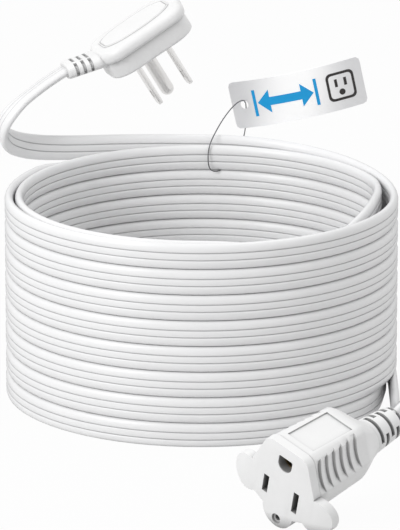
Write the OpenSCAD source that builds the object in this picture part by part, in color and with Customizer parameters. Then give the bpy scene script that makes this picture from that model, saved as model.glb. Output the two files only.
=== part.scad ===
// Flat three-core extension cord, wound on edge into a two-layer coil, with a
// low-profile grounded plug, a winged three-hole connector and a hang tag.
// Millimetres, +Z up, the coil standing on the plane z = 0.

/* [Cord] */
// Width of the flat cord, stood upright in the coil
cord_w = 8.4; // [7.5:0.1:9.5]
// Thickness of the flat cord
cord_t = 2.95; // [2.4:0.05:3.2]

/* [Coil] */
// Radius of the outer layer, to the middle of the cord
coil_r = 65.5; // [60:0.5:75]
// Number of cord widths stacked up in the coil
coil_levels = 8; // [4:1:10]
// Clear gap between one turn and the turn above it
level_gap = 0.45; // [0.42:0.01:0.8]
// Clear gap between the outer and the inner layer
layer_gap = 0.5; // [0.46:0.01:0.8]
// Depth of the flat on which the coil stands
coil_flat = 0.5; // [0.3:0.1:0.8]
// Rise of the last turn where it leaves for the plug
last_rise = 3; // [2:0.5:5]

/* [Plug] */
// Length of the plug's head, along the line of its blades
head_l = 36.5; // [34:0.5:42]
// Width of the plug's head
head_w = 28; // [26:0.5:32]
// Thickness of the head's rounded top
head_t = 4.6; // [4.2:0.1:6]
// Rounding of the head's rim
head_round = 1.9; // [1:0.1:2.1]
// Height of the block between the head and the socket
block_h = 6.5; // [5:0.5:9]
// How far the block stands back from the head's rim
block_step = 1.6; // [1:0.2:3]
// Height of the bare raised panel on the head
panel_h = 0.35; // [0.2:0.05:0.6]
// Length of the plug's strain relief
plug_relief_l = 11; // [9:0.5:16]

/* [Prongs] */
// Distance between the two blades
blade_gap = 12.7; // [12.5:0.1:12.9]
// Width of each blade
blade_w = 6.35; // [6:0.05:6.6]
// Thickness of each blade
blade_t = 1.5; // [1.4:0.05:1.6]
// Length of each blade beyond the block
blade_l = 17; // [15:0.5:18]
// Diameter of the hole near each blade's tip
blade_hole_d = 3.2; // [2.8:0.1:3.6]
// Diameter of the ground pin
pin_d = 4.8; // [4.6:0.05:4.9]
// Length of the ground pin beyond the block
pin_l = 20; // [18:0.5:21]
// Distance from the blades' line to the ground pin
pin_offset = 11.9; // [11.7:0.1:12.1]

/* [Connector] */
// Thickness of the connector's face plate, wings included
face_t = 3.2; // [2.6:0.2:4.5]
// Radius of each finger wing
wing_r = 6.3; // [5.5:0.1:7]
// Distance of each wing's centre from the middle
wing_x = 14.4; // [13.5:0.1:15.5]
// Length of the ribbed part of the body
grip_l = 25; // [22:0.5:30]
// Length of the tapered rear of the body
taper_l = 12; // [10:0.5:18]
// Number of grip grooves on each side
groove_n = 6; // [4:1:7]
// Width of each grip groove
groove_w = 1.3; // [0.8:0.1:1.6]
// Depth of each grip groove
groove_d = 1.1; // [0.6:0.1:1.4]
// Length of the connector's strain relief
relief_l = 14; // [12:0.5:22]
// Length of the connector's longer slot
neutral_l = 8; // [7.6:0.1:8.4]
// Clearance beside a blade in its slot
slot_clear = 0.35; // [0.2:0.05:0.5]
// Inside diameter of the ground contact's sleeve
sleeve_d = 4.9; // [4.8:0.05:5.2]
// Wall of the contacts' sheet metal
contact_t = 0.6; // [0.4:0.05:0.8]

/* [Tag] */
// Length of the hang tag's card
tag_l = 48; // [40:1:60]
// Height of the hang tag's card
tag_w = 17; // [14:0.5:20]
// Thickness of the card
tag_t = 0.4; // [0.3:0.05:0.6]
// Radius to which the card is bowed
tag_bow = 60; // [50:5:120]
// Diameter of the hole that the wire goes through
tag_hole_d = 3; // [2.4:0.2:4]
// Diameter of the tag's wire
wire_d = 0.4; // [0.3:0.05:0.42]

/* [Hidden] */
$fn = 48;
eps = 0.01;

// Moulded pieces that carry others leave this much all round.
mould_gap = 0.05;

// Where the middle of the coil stands, so that the whole part is centred on the origin.
coil_at = [1.5, 42.5, 0];

// ---- The coil's run ------------------------------------------------------
// The cord is followed by its running angle a, in degrees, from its start at
// the right, where the connector's lead comes in, anticlockwise from above.
coil_step = 15;
level_pitch = cord_w + level_gap;
layer_pitch = (cord_t + layer_gap) / cos(coil_step / 2);
low_z = cord_w / 2 - coil_flat;
base_in = 325;                                  // the first turn steps in here
rise_from = 545;                                // then climbs inside the front
rise_to = 710;
inner_in = 740;                                 // the inner layer starts, at the top
inner_out = 510 + 360 * (coil_levels - 1);      // and ends here, at the second level
first_drop = 990;
drop_span = 60;
first_climb = inner_out + 315;
climb_span = 45;
coil_end = inner_out + 360 * (coil_levels - 1) - 60;

function smooth(u) = u <= 0 ? 0 : u >= 1 ? 1 : u * u * (3 - 2 * u);
function passed(a, from, to) = smooth((a - from) / (to - from));
function total(v, i = 0) = i < len(v) ? v[i] + total(v, i + 1) : 0;

// 0 is the outer layer, -1 the inner one and -2 the climb inside them.
function layer(a) =
    -passed(a, base_in, base_in + 27) - passed(a, 510, rise_from)
    + passed(a, rise_to, inner_in) + passed(a, inner_out, inner_out + 35);
function level(a) =
    (coil_levels - 1) * passed(a, rise_from, rise_to)
    - total([for (k = [0:coil_levels - 3])
        passed(a, first_drop + 360 * k, first_drop + 360 * k + drop_span)])
    + total([for (k = [0:coil_levels - 3])
        passed(a, first_climb + 360 * k, first_climb + 360 * k + climb_span)]);
function coil_rho(a) = coil_r + layer_pitch * layer(a);
function coil_z(a) =
    low_z + level_pitch * level(a) + last_rise * passed(a, coil_end - 90, coil_end);
function on_coil(a, out, up) = [
    (coil_rho(a) + out) * cos(a),
    (coil_rho(a) + out) * sin(a),
    coil_z(a) + up
];
// The climb is steep, so its rings are taller there and the cord keeps its width.
function coil_slope(a) =
    (coil_z(a + 1) - coil_z(a - 1)) / (2 * coil_rho(a) * PI / 180);
function coil_stretch(a) =
    a > rise_from && a < rise_to ? sqrt(1 + pow(coil_slope(a), 2)) : 1;

// Section of the coiled cord: [outward, upward] corners.
cord_round = 0.45 * cord_t;
coil_section = [
    [0, cord_w / 2], [-cord_t / 2, cord_w / 2 - cord_round],
    [-cord_t / 2, cord_round - cord_w / 2], [0, -cord_w / 2],
    [cord_t / 2, cord_round - cord_w / 2], [cord_t / 2, cord_w / 2 - cord_round]
];
coil_rings = [
    for (a = [0:coil_step:coil_end])
        [for (c = coil_section) on_coil(a, c[0], c[1] * coil_stretch(a))]
];

// ---- The leads' routes, chosen by hand -----------------------------------
// Each row is a point, from the coil's end that the lead runs on from, and the
// direction of the cord's width there.
plug_from = on_coil(coil_end, 0, 0);
plug_route = [
    [[0, 0, 0], [0, 0, 1]],
    [[-6, 0, 0.05], [0, 0, 1]],
    [[-14, -0.2, 0.15], [0, 0, 1]],
    [[-23, -0.8, 0.25], [0, 0, 1]],
    [[-32, -1.7, 0.35], [0, 0, 1]],
    [[-41, -3, 0.45], [0, 0, 1]],
    [[-49, -4.6, 0.75], [0, 0.05, 1]],
    [[-56, -6.8, 1.45], [0, 0.15, 1]],
    [[-62, -9.5, 2.85], [0, 0.3, 0.95]],
    [[-66.4, -12.5, 5.05], [0, 0.5, 0.85]],
    [[-68.7, -15.3, 8.25], [-0.1, 0.7, 0.7]],
    [[-68.7, -17.1, 12.25], [-0.2, 0.85, 0.45]],
    [[-66.3, -17.2, 16.35], [-0.25, 0.93, 0.25]],
    [[-62.3, -15.7, 20.25], [-0.27, 0.96, 0]],
    [[-57.6, -13.3, 23.55], [-0.267, 0.961, -0.066]],
    [[-53.3, -10.5, 26.15], [-0.267, 0.961, -0.066]]
];
connector_from = on_coil(0, 0, 0);
connector_route = [
    [[0, 0, 0], [0, 0, 1]],
    [[0, -9, 0], [0, 0, 1]],
    [[0, -20, 0.2], [0, 0, 1]],
    [[-0.1, -31, 0.7], [0, 0, 1]],
    [[-0.3, -42, 1.6], [0, 0, 1]],
    [[-0.5, -52.5, 3.1], [0, 0, 1]],
    [[-0.5, -62, 5.2], [0, 0, 1]],
    [[-0.5, -71, 7.7], [0, -0.05, 1]],
    [[-0.4, -79.5, 10.7], [0, -0.1, 1]],
    [[-0.2, -87, 13.7], [0, -0.2, 1]],
    [[0, -94, 16.7], [0.05, -0.28, 1]],
    [[0.2, -100.5, 19.4], [0.1, -0.33, 0.95]],
    [[0.3, -106.5, 21.6], [0.12, -0.35, 0.94]],
    [[-0.1, -111.3, 23], [0.14, -0.37, 0.93]],
    [[-1.5, -114.7, 23.1], [0.14, -0.38, 0.92]]
];

// ---- Where the plug and the connector are held ---------------------------
// The plug's own frame: x along its blades' line away from the cord, y across,
// +z out along the prongs, z = 0 on the face that meets the socket.
plug_at = plug_from + [-18.7, 1.5, 33.95];
plug_turn = [175.6, -30.7, 17.8];
// The connector's own frame: x to the right of its face, y up to the ground
// hole, +z out of the face.
connector_at = [coil_r - 40.5, -155, 12.9];
connector_turn = [102.7, 20, -39.3];
// The tag's own frame: x along the card from its hole, z up, y to the back.
tag_at = plug_from + [14.9, 7.5, 13.25];
tag_tilt = -12;

module place() translate(coil_at) children();
module place_plug() place() translate(plug_at) rotate(plug_turn) children();
module place_connector() place() translate(connector_at) rotate(connector_turn) children();
module place_tag() place() translate(tag_at) rotate([0, tag_tilt, 0]) children();

// A point of the plug or the connector in the coil's frame.
function turned(p, t) = let(
    x = [p[0], p[1] * cos(t[0]) - p[2] * sin(t[0]), p[1] * sin(t[0]) + p[2] * cos(t[0])],
    y = [x[0] * cos(t[1]) + x[2] * sin(t[1]), x[1], x[2] * cos(t[1]) - x[0] * sin(t[1])]
) [y[0] * cos(t[2]) - y[1] * sin(t[2]), y[0] * sin(t[2]) + y[1] * cos(t[2]), y[2]];

// ---- Sweeping a flat cord -------------------------------------------------
lead_section = [
    [0.28 * cord_t, cord_w / 2], [-0.28 * cord_t, cord_w / 2],
    [-cord_t / 2, cord_w / 2 - cord_round], [-cord_t / 2, cord_round - cord_w / 2],
    [-0.28 * cord_t, -cord_w / 2], [0.28 * cord_t, -cord_w / 2],
    [cord_t / 2, cord_round - cord_w / 2], [cord_t / 2, cord_w / 2 - cord_round]
];

function unit(v) = v / norm(v);
function heading(pts, i) =
    unit(pts[min(i + 1, len(pts) - 1)] - pts[max(i - 1, 0)]);
// One ring of a section round point p: out is across the cord, up its width.
function ring_at(p, along, wide, section) = let(
    up = unit(wide - (wide * along) * along),
    out = cross(along, up)
) [for (c = section) p + c[0] * out + c[1] * up];

// Triangles that join the rings, with the two ends closed.
function tube_faces(rings, sides) = concat(
    [for (i = [0:rings - 2], j = [0:sides - 1], k = [0, 1]) let(
        a = i * sides + j, b = i * sides + (j + 1) % sides
    ) k == 0 ? [a, b, b + sides] : [a, b + sides, a + sides]],
    [for (j = [1:sides - 2]) [0, j + 1, j]],
    [for (j = [1:sides - 2]) let(e = (rings - 1) * sides) [e, e + j, e + j + 1]]
);
module tube(rings) {
    sides = len(rings[0]);
    polyhedron(
        points = [for (r = rings, p = r) p],
        faces = tube_faces(len(rings), sides),
        convexity = 10
    );
}
// The last row is where the lead goes into its strain relief.
module lead(from, route, into, first, last) {
    pts = concat([for (r = route) from + r[0]], [into]);
    n = len(pts) - 1;
    tube([for (i = [0:n]) ring_at(
        pts[i],
        i == 0 ? first : i == n ? last : heading(pts, i),
        route[min(i, len(route) - 1)][1],
        lead_section
    )]);
}

// ---- Coil ------------------------------------------------------------------
// Least distance between rings of the cord that lie over the same angle.
function seg_gap(p, a, b) = let(
    d = b - a, u = max(0, min(1, ((p - a) * d) / (d * d)))
) norm(p - a - u * d);
function ring_gap(r, s) = min([
    for (i = [0:5], j = [0:5]) min(
        seg_gap(r[i], s[j], s[(j + 1) % 6]), seg_gap(s[i], r[j], r[(j + 1) % 6]))
]);
near_rings = [
    for (i = [0:len(coil_rings) - 1], j = [i + 24:24:len(coil_rings) - 1])
        if (norm(coil_rings[i][0] - coil_rings[j][0]) < 1.6 * cord_w) [i, j]
];
module coil() {
    least = min([for (n = near_rings) ring_gap(coil_rings[n[0]], coil_rings[n[1]])]);
    echo(str("least gap of the coil to itself: ", least, " mm"));
    color("white") difference() {
        tube(coil_rings);
        translate([0, 0, -cord_w])
            cylinder(h = cord_w, r = coil_r + cord_w, $fn = 96);
    }
}

// ---- Leads -----------------------------------------------------------------
module plug_lead() color("white")
    lead(plug_from, plug_route, plug_relief_end, [-1, 0, 0], -plug_relief_dir);
// The first stretch stands on the same cut flat as the coil.
module connector_lead() color("white") difference() {
    lead(connector_from, connector_route, relief_end, [0, -1, 0], -relief_dir);
    translate([coil_r - cord_w, -coil_r, -cord_w]) cube([2 * cord_w, coil_r + 1, cord_w]);
}

// ---- Plug ------------------------------------------------------------------
head_x = 0.75;                      // the head's middle, from the prongs' middle
block_l = head_l - 2 * block_step;
block_w = head_w - 2 * block_step;
head_end_r = 5.4;                   // rounding of the head's outline, seen from above
head_corner_r = 7.2;
head_corner_in = 1.2;
panel_rim = 9;                      // how much shorter and narrower the panel is
pocket_h = 2.8;                     // room for the cores, in the head's underside
prong_y = 3;                        // the blades' line, from the head's middle
pin_root_d = pin_d + 0.5;           // the pin's root, inside the block
pin_foot_d = pin_d + 1;
foot_l = 5;                         // the blades' turned-over feet
relief_tilt = 15;
relief_z = -block_h - 0.4 * head_t;
relief_root = [head_x - head_l / 2 - 0.2, 0, relief_z];
relief_way = [-cos(relief_tilt), 0, -sin(relief_tilt)];
plug_relief_end = plug_at
    + turned(relief_root + plug_relief_l * relief_way, plug_turn);
plug_relief_dir = turned(relief_way, plug_turn);
core_d = 2.3;
pocket_wall = 3.5;
pocket_x = [head_x - block_l / 2 + pocket_wall, head_x + block_l / 2 - pocket_wall];
pocket_y = [pocket_wall + 0.9 - block_w / 2, prong_y + blade_w / 2 + core_d + 0.5];

// Outline of the head: long sides that bulge, cut off at the two ends.
module head_outline(l, w, r) {
    bulge_r = 1.6 * l;
    intersection() {
        square([l, w], center = true);
        translate([0, w / 2 - bulge_r]) circle(bulge_r, $fn = 180);
        translate([0, bulge_r - w / 2]) circle(bulge_r, $fn = 180);
        circle(d = norm([l, w]) - r, $fn = 96);
    }
}
// The head's rounded top, grown a little where another piece is cut to it.
module head_top(grow) hull() for (sx = [-1, 1], sy = [-1, 0, 1]) {
    r = sy == 0 ? head_end_r : head_corner_r;
    x = sx * (head_l / 2 - r - (sy == 0 ? 0 : head_corner_in));
    translate([head_x + x, sy * (head_w / 2 - r), -block_h - head_t - grow])
        head_puck(r + grow, head_t + 2 * grow);
}
module plug_head() color("white") place_plug() difference() {
    union() {
        head_top(0);
        translate([head_x, 0, -block_h - head_t - panel_h]) linear_extrude(panel_h + 0.5)
            head_outline(head_l - panel_rim, head_w - panel_rim, panel_rim / 2);
    }
    // Room for the blades' feet, the pin's foot and the cores
    translate([pocket_x[0], pocket_y[0], -block_h - pocket_h])
        cube([pocket_x[1] - pocket_x[0], pocket_y[1] - pocket_y[0], pocket_h + 1]);
    translate([-pin_foot_d, prong_y - pin_offset - pin_foot_d / 2 - 0.3,
        -block_h - pocket_h])
        cube([2 * pin_foot_d, pin_foot_d, pocket_h + 1]);
}
// One rounded disc of the head's hull.
module head_puck(r, t) rotate_extrude($fn = 32) intersection() {
    union() {
        translate([head_round - r, 0]) square([2 * (r - head_round), t]);
        translate([-r, head_round]) square([2 * r, t - 2 * head_round]);
        for (x = [-1, 1], z = [head_round, t - head_round])
            translate([x * (r - head_round), z]) circle(head_round, $fn = 24);
    }
    square([r, t]);
}
// The block takes the blades and the pin through its face.
module plug_block() color("white") place_plug() difference() {
    translate([head_x, 0, -block_h]) linear_extrude(block_h)
        rounded_rect(block_l, block_w, 8.5);
    for (s = [-1, 1])
        translate([s * blade_gap / 2, prong_y, -block_h / 2])
            cube([blade_t + 2 * mould_gap, blade_w + 2 * mould_gap, block_h + 1],
                center = true);
    translate([0, prong_y - pin_offset, -block_h - 0.5])
        cylinder(h = block_h + 1, d = pin_root_d + 2 * mould_gap);
}
module rounded_rect(l, w, r) {
    square([l - 2 * r, w], center = true);
    square([l, w - 2 * r], center = true);
    for (x = [-1, 1], y = [-1, 1])
        translate([x * (l / 2 - r), y * (w / 2 - r)]) circle(r);
}
// Section of a strain relief, with the slots that let it bend.
module relief_slots(l, w, t, rows, wall) {
    pitch = (l - 3.2) / rows;
    for (i = [0:rows - 1], s = [-1, 1]) {
        z = 1.8 + pitch * (i + 0.5);
        shift = i % 2 == 0 ? 0 : 0.25 * w;
        translate([s == 1 ? shift : -shift, s * t / 2, z])
            cube([0.5 * w, 2 * wall, 0.38 * pitch], center = true);
        translate([s * w / 2, 0, z + (i % 2 == 0 ? 0 : 0.1)])
            cube([2 * wall, 0.55 * t, 0.38 * pitch], center = true);
    }
}
module plug_strain_relief() color("white") place_plug() difference() {
    translate(relief_root) rotate([0, -90 - relief_tilt, 0]) rotate([0, 0, 90])
        difference() {
            hull() {
                translate([0, 0, -3]) linear_extrude(1)
                    relief_section(cord_w + 8, cord_t + 2.6);
                translate([0, 0, plug_relief_l - 1]) linear_extrude(1)
                    relief_section(cord_w + 3, cord_t + 3);
            }
            relief_slots(plug_relief_l, cord_w + 4.2, cord_t + 3.2, 3, 0.9);
        }
    // Cut to the head and the block that it is moulded against
    head_top(mould_gap);
    translate([head_x, 0, -block_h - mould_gap]) linear_extrude(block_h + 1)
        rounded_rect(block_l + 2 * mould_gap, block_w + 2 * mould_gap, 8.5);
}
module relief_section(w, t) {
    r = min(w, t) / 2 - eps;
    square([w - 2 * r, t], center = true);
    for (s = [-1, 1]) translate([s * (w / 2 - r), 0]) circle(r, $fn = 32);
}
module blade_2d(l, w) {
    polygon([
        [-w / 2, 0], [w / 2, 0], [w / 2, l - 1.2], [w / 2 - 1.2, l], [1.2 - w / 2, l],
        [-w / 2, l - 1.2]
    ]);
}
// A blade through the block, with its foot turned over into the head's pocket.
module blade(side) color("silver") place_plug() {
    translate([side * blade_gap / 2, prong_y, 0]) difference() {
        union() {
            rotate([90, 0, 90]) translate([0, -block_h - blade_t, -blade_t / 2])
                linear_extrude(blade_t) blade_2d(blade_l + block_h + blade_t, blade_w);
            translate([-side * (foot_l - blade_t) / 2, 0, -block_h - blade_t / 2])
                cube([foot_l, blade_w, blade_t], center = true);
        }
        translate([0, 0, blade_l - 4.2]) rotate([0, 90, 0])
            cylinder(h = 3 * blade_t, d = blade_hole_d, center = true);
    }
}
module plug_hot_blade() blade(1);
module plug_neutral_blade() blade(-1);
module plug_ground_pin() color("silver") place_plug()
    translate([0, prong_y - pin_offset, 0]) {
        translate([0, 0, -block_h]) cylinder(h = block_h, d = pin_root_d);
        cylinder(h = pin_l - pin_d / 2, d = pin_d);
        translate([0, 0, pin_l - pin_d / 2]) sphere(d = pin_d);
        translate([0, 0, -block_h - 1]) cylinder(h = 1, d = pin_foot_d);
    }

// ---- Connector --------------------------------------------------------------
slot_y = 0;
ground_y = 11.9;
hot_slot = [blade_t + 2 * slot_clear, blade_w + slot_clear];
neutral_slot = [blade_t + 2 * slot_clear, neutral_l];
ground_hole_d = sleeve_d + 0.8;     // its top is flat, to guide the round pin
top_y = 18.4;                       // the sloped top of the face
top_half = 7;
corner = [9, 17.4];
shoulder = [13.2, 6.2];
chin = [[12.5, -5], [5.5, -8]];
wing_y = -0.8;
lobe_y = -7.3;
dish = [-10.7, 3.6, 2];             // the small hole's place, its dish and its bore
body_half = 13.4;
body_low = -9.5;
belly_y = 3.4;                      // middle of the body's round underside
grip_scale = [0.98, 0.9];           // the body narrows from the face to the taper
axis_y = 1;                         // the cord's height in the connector
taper_d = 13;
label = [11, 0.4, 19];              // the bare panel: width, depth and length
label_from = 2;
groove_l = 12.5;
groove_from = 3.6;
groove_pitch = 3.6;
cavity_clear = 1.5;                 // room beside the contacts
cavity_w = blade_gap + blade_t + 2 * contact_t + 2 * cavity_clear;
cavity_top_w = sleeve_d + 2 * contact_t + 2 * cavity_clear;
cavity_low = -neutral_l / 2 - cavity_clear / 3;
cavity_top = [neutral_l / 2 + cavity_clear, ground_y + cavity_top_w / 2 - 0.85];
cavity_z = grip_l - 2;
contact_l = 11;                     // the contacts' length behind the face
crimp_l = 2;
relief_d = [12.6, 10.4];
relief_slot = [3.2, 8.4, 1.1];
relief_from = 2.4;
relief_pitch = 2.7;
relief_rows = 5;
relief_at = [0, axis_y, -face_t - grip_l - taper_l];
relief_end = connector_at + turned(relief_at + [0, 0, -relief_l], connector_turn);
relief_dir = turned([0, 0, -1], connector_turn);

// The upper half of the face and of the body: a sloped top and two shoulders.
function crown(side) = [
    [-side[0], side[1]], [-corner[0], corner[1]], [-top_half, top_y],
    [top_half, top_y], [corner[0], corner[1]], [side[0], side[1]]
];
// The face plate has two wings and a round lobe below.
module face_plate() {
    linear_extrude(face_t) polygon(concat(crown(shoulder), [
        chin[0], chin[1], [-chin[1][0], chin[1][1]], [-chin[0][0], chin[0][1]]
    ]));
    for (s = [-1, 1])
        translate([s * wing_x, wing_y, 0]) cylinder(h = face_t, r = wing_r);
    translate([0, lobe_y, 0]) cylinder(h = face_t, r = wing_r);
}
module ground_hole_2d() translate([0, ground_y]) intersection() {
    circle(d = ground_hole_d);
    translate([-ground_hole_d, -ground_hole_d])
        square([2 * ground_hole_d, ground_hole_d + sleeve_d / 2]);
}
module connector_face() color("white") place_connector() difference() {
    translate([0, 0, -face_t]) face_plate();
    for (s = [[-1, hot_slot], [1, neutral_slot]])
        translate([s[0] * blade_gap / 2, slot_y, -face_t / 2])
            cube([s[1][0], s[1][1], face_t + 1], center = true);
    translate([0, 0, -face_t - 0.5]) linear_extrude(face_t + 1) ground_hole_2d();
    translate([0, dish[0], -dish[2]]) cylinder(h = face_t, d = dish[2]);
    translate([0, dish[0], -face_t / 4]) cylinder(h = face_t, d = dish[1]);
}
// The body's section, k times its full size.
module body_section(k) linear_extrude(1) scale([k, k]) {
    polygon(concat(
        crown([body_half, shoulder[1]]), [[body_half, 0], [-body_half, 0]]
    ));
    intersection() {
        translate([0, belly_y]) circle(body_half, $fn = 64);
        translate([-body_half, body_low]) square([2 * body_half, -body_low + 1]);
    }
}
// How much the body has narrowed, some way behind the face plate.
function grip_k(back) = grip_scale[0]
    - (grip_scale[0] - grip_scale[1]) * (back - 1) / (grip_l - 1);
grip_fall = atan((grip_scale[0] - grip_scale[1]) * top_y / (grip_l - 1));
side_mid = ([body_half, shoulder[1]] + corner) / 2;
side_lean = atan((body_half - corner[0]) / (corner[1] - shoulder[1]));
module connector_body() color("white") place_connector() difference() {
    union() {
        hull() {
            translate([0, 0, -face_t - 1]) body_section(grip_scale[0]);
            translate([0, 0, -face_t - grip_l]) body_section(grip_scale[1]);
        }
        hull() {
            translate([0, 0, -face_t - grip_l]) body_section(grip_scale[1]);
            translate([0, axis_y, -face_t - grip_l - taper_l])
                cylinder(h = 1, d = taper_d, $fn = 32);
        }
    }
    // Recessed bare panel in the top
    translate([0, grip_scale[0] * top_y, -face_t - 1]) rotate([-grip_fall, 0, 0])
        translate([0, 0, -label_from - label[2] / 2])
        cube([label[0], 2 * label[1], label[2]], center = true);
    // Grip grooves on both sides
    for (i = [0:groove_n - 1], s = [-1, 1]) {
        back = groove_from + i * groove_pitch;
        translate([s * grip_k(back) * side_mid[0], grip_k(back) * side_mid[1],
            -face_t - back]) rotate([0, 0, s * side_lean])
            cube([2 * groove_d, groove_l, groove_w], center = true);
    }
    // Room for the contacts
    translate([-cavity_w / 2, cavity_low, -face_t - cavity_z])
        cube([cavity_w, cavity_top[0] - cavity_low, cavity_z + 1]);
    translate([-cavity_top_w / 2, 0, -face_t - cavity_z])
        cube([cavity_top_w, cavity_top[1], cavity_z + 1]);
}
module connector_strain_relief() color("white") place_connector()
    translate(relief_at) rotate([180, 0, 0]) difference() {
        hull() {
            cylinder(h = 1, d = relief_d[0], $fn = 32);
            translate([0, 0, relief_l - 1]) cylinder(h = 1, d = relief_d[1], $fn = 32);
        }
        for (i = [0:relief_rows - 1], s = [-1, 1])
            translate([0, 0, relief_from + i * relief_pitch]) rotate([0, 0, i % 2 * 90])
                translate([s * (relief_d[0] + relief_slot[0] / 5) / 2, 0, 0])
                cube(relief_slot, center = true);
    }

// A contact's two sprung leaves and the back that joins them.
module blade_contact(x, w) color("goldenrod") place_connector()
    translate([x, slot_y, -face_t - mould_gap]) {
        gap = blade_t + 0.1;
        for (s = [-1, 1]) translate([s * (gap + contact_t) / 2, 0, -contact_l / 2])
            cube([contact_t, w, contact_l], center = true);
        translate([0, 0, -contact_l - contact_t / 2])
            cube([gap + 2 * contact_t, w, contact_t], center = true);
        translate([0, 0, -contact_l - contact_t - crimp_l / 2])
            cube([core_d, core_d, crimp_l], center = true);
    }
module hot_contact() blade_contact(-blade_gap / 2, hot_slot[1] - 1);
module neutral_contact() blade_contact(blade_gap / 2, neutral_slot[1] - 1);
module ground_contact() color("goldenrod") place_connector()
    translate([0, ground_y, -face_t - mould_gap]) {
        translate([0, 0, -contact_l]) difference() {
            cylinder(h = contact_l, d = sleeve_d + 2 * contact_t);
            translate([0, 0, contact_t]) cylinder(h = contact_l, d = sleeve_d);
        }
        translate([0, 0, -contact_l - crimp_l / 2])
            cube([core_d, core_d, crimp_l], center = true);
    }

// Cores: short insulated wires from the cord's end to each contact.
module core(points, tone) color(tone) tube([
    for (i = [0:len(points) - 1]) ring_at(
        points[i], heading(points, i), [0, 1, 0.02],
        [for (k = [0:7]) core_d / 2 * [cos(45 * k), sin(45 * k)]]
    )
]);
contact_back = -face_t - mould_gap - contact_l - contact_t - crimp_l;
core_end_z = -face_t - cavity_z + 0.1;
module connector_core(x, y, back, side, tone) place_connector() core([
    [x, y, back - 0.05], [x, y, back - 1.2],
    [(x + side) / 2, (y + axis_y) / 2, (back + core_end_z) / 2],
    [side, axis_y, core_end_z + 1.2], [side, axis_y, core_end_z]
], tone);
module connector_hot_core()
    connector_core(-blade_gap / 2, slot_y, contact_back, -core_d - 0.3, "black");
module connector_neutral_core()
    connector_core(blade_gap / 2, slot_y, contact_back, core_d + 0.3, "white");
module connector_ground_core()
    connector_core(0, ground_y, contact_back + contact_t, 0, "green");

core_z = -block_h - pocket_h / 2;
core_x = pocket_x[0] + 0.1;
hot_side = prong_y + blade_w / 2 + core_d / 2 + 0.1;
neutral_x = -blade_gap / 2 - blade_t / 2 - 0.1;
module plug_core(route, tone) place_plug()
    core([for (p = route) [p[0], p[1], core_z]], tone);
module plug_hot_core() plug_core([
    [core_x, 3], [core_x + 1.2, 3], [core_x + 2.6, 5.9], [-8.4, hot_side],
    [0, hot_side], [blade_gap / 2 - 1, hot_side]
], "black");
module plug_neutral_core() plug_core([
    [core_x, 0.2], [core_x + 1.5, 0.2], [neutral_x - 1.2, 1.4], [neutral_x, 1.4]
], "white");
module plug_ground_core() plug_core([
    [core_x, -2.8], [core_x + 1.5, -2.8], [-7, -4.9], [-2.5, -7.2]
], "green");

// ---- Tag -------------------------------------------------------------------
tag_hole_x = 4.6;                   // the hole's distance from the card's end
tag_mid = tag_l / 2 - tag_hole_x;
// The card is bowed about an upright axis behind it.
module tag() color("white") place_tag()
    translate([tag_mid, tag_bow * cos(tag_turn(tag_mid)), 0])
    difference() {
        intersection() {
            translate([0, 0, -tag_w / 2]) difference() {
                cylinder(h = tag_w, r = tag_bow + tag_t, $fn = 200);
                translate([0, 0, -1]) cylinder(h = tag_w + 2, r = tag_bow, $fn = 200);
            }
            rotate([90, 0, 0]) linear_extrude(2 * tag_bow)
                rounded_rect(2 * tag_bow * sin(tag_turn(tag_l / 2)), tag_w, 2);
        }
        translate([-tag_mid, 0, 0]) rotate([90, 0, 0])
            cylinder(h = 2 * tag_bow, d = tag_hole_d);
    }
function tag_turn(arc) = arc * 180 / (PI * tag_bow);

// The wire's closed loop, chosen by hand and placed from the coil's end: down
// inside, between the two top levels, and up behind the card to its hole.
wire_z = -last_rise - level_pitch / 2;
wire_route = [
    [15.3, 6.7, 14.25], [15, 5.4, 15.15], [13.4, 3.8, 15.35], [11, 2.3, 13.75],
    [8.2, 0.8, 10.55], [5.6, -1.3, 6.75], [3.3, -4.5, 2.75], [2.4, -5.8, -1.05],
    [2.5, -6.2, -4.85], [3.4, -6.2, -6.85], [5, -5.9, wire_z], [6.4, -4.5, wire_z],
    [9, 0.5, wire_z], [10, 1.9, wire_z], [11.6, 3.3, -5.85], [13.2, 5.3, -2.45],
    [14.7, 7.9, 0.75], [15.5, 9.6, 4.35], [15.8, 10.1, 8.55], [15.7, 9.8, 11.95],
    [15.5, 8.6, 13.75]
];
module tag_wire() color("dimgray") place() {
    n = len(wire_route);
    rings = [for (i = [0:n - 1]) ring_at(
        plug_from + wire_route[i],
        unit(wire_route[(i + 1) % n] - wire_route[(i + n - 1) % n]),
        [0.9, 0.1, 0.3],
        [for (k = [0:7]) wire_d / 2 * [cos(45 * k), sin(45 * k)]]
    )];
    polyhedron(
        points = [for (r = rings, p = r) p],
        faces = [for (i = [0:n - 1], j = [0:7], k = [0, 1]) let(
            a = i * 8 + j, b = i * 8 + (j + 1) % 8,
            c = (i + 1) % n * 8 + j, d = (i + 1) % n * 8 + (j + 1) % 8
        ) k == 0 ? [a, b, d] : [a, d, c]],
        convexity = 10
    );
}

place() coil();
place() plug_lead();
place() connector_lead();
plug_head();
plug_block();
plug_strain_relief();
plug_hot_blade();
plug_neutral_blade();
plug_ground_pin();
plug_hot_core();
plug_neutral_core();
plug_ground_core();
connector_face();
connector_body();
connector_strain_relief();
hot_contact();
neutral_contact();
ground_contact();
connector_hot_core();
connector_neutral_core();
connector_ground_core();
tag();
tag_wire();
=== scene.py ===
# %% [markdown]
# # A flat extension cord wound into a coil
# The real object is one white, flat, three-core cord. It is wound on edge into two
# layers, one end rises to a low grounded plug, and the other comes forward along the
# floor to a connector with finger wings. A card hangs on a wire loop at the top.
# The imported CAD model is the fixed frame. Everything here is made round it, in metres.

# %% Load the frame and keep its box
import math

import bmesh
import bpy
from mathutils import Euler, Matrix, Vector


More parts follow.
